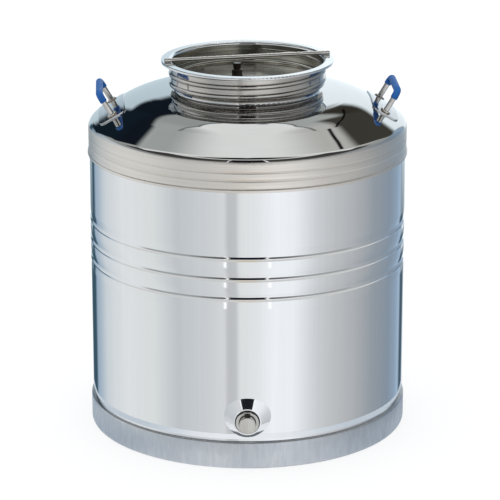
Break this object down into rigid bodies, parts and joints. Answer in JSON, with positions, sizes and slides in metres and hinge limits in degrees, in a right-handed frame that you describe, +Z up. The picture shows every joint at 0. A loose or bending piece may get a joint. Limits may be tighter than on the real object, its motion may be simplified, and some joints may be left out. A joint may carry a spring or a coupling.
{
  "type": "stainless steel fermenter",
  "caption": "Cylindrical stainless fermenting drum with rolling beads, domed shoulder, screwed-in pan lid with bar and vent, side grips and a low plugged port.",
  "frame": {"origin": "centre of the foot ring's underside, on the floor the drum stands on", "axes": "+Z up along the drum axis, -Y out of the low port, the two handles near +X and -X"},
  "size_m": [0.4652, 0.4825, 0.5493],
  "materials": {
    "polished_steel": "mirror polished stainless steel",
    "satin_steel": "satin stainless steel",
    "bright_rod": "bright drawn stainless rod",
    "blue_grip": "smooth blue moulded sleeve",
    "black_rubber": "black seal rubber",
    "pale_silicone": "pale silicone gasket"
  },
  "bodies": {
    "vessel": {"body_shell": "polished_steel", "shoulder_dome": "polished_steel", "bottom_plate": "satin_steel", "foot_ring": "satin_steel", "neck_ring": "polished_steel", "handle_plate_left": "polished_steel", "handle_bail_left": "bright_rod", "handle_grip_left": "blue_grip", "handle_plate_right": "polished_steel", "handle_bail_right": "bright_rod", "handle_grip_right": "blue_grip", "port_ferrule": "bright_rod", "port_nut": "satin_steel"},
    "lid_carrier": {"lid_gasket": "pale_silicone"},
    "lid": {"lid_pan": "polished_steel", "lid_bar": "bright_rod", "vent_seal": "black_rubber", "vent_body": "bright_rod", "vent_washer": "satin_steel", "vent_nut": "satin_steel"},
    "vent": {"vent_knob": "bright_rod"},
    "plug_carrier": {"port_seal": "black_rubber"},
    "plug": {"port_plug": "satin_steel"}
  },
  "joints": [
    {"name": "lid_rise", "type": "slide", "parent": "vessel", "child": "lid_carrier", "axis": [0, 0, 1], "range_m": [0, 0.035]},
    {"name": "lid_turn", "type": "hinge", "parent": "lid_carrier", "child": "lid", "pos_m": [0, 0, 0.541], "axis": [0, 0, 1], "range_deg": [0, 900]},
    {"name": "vent_turn", "type": "hinge", "parent": "lid", "child": "vent", "pos_m": [-0.015, -0.0015, 0.53], "axis": [0, 0, 1], "range_deg": [0, 90]},
    {"name": "plug_out", "type": "slide", "parent": "vessel", "child": "plug_carrier", "axis": [0, -1, 0], "range_m": [0, 0.014]},
    {"name": "plug_turn", "type": "hinge", "parent": "plug_carrier", "child": "plug", "pos_m": [0, -0.24, 0.0725], "axis": [0, -1, 0], "range_deg": [0, 2229]}
  ],
  "couplings": [
    {"joint": "lid_rise", "follows": "lid_turn", "m_per_rad": 0.0022282},
    {"joint": "plug_turn", "follows": "plug_out", "rad_per_m": 2777.8}
  ]
}
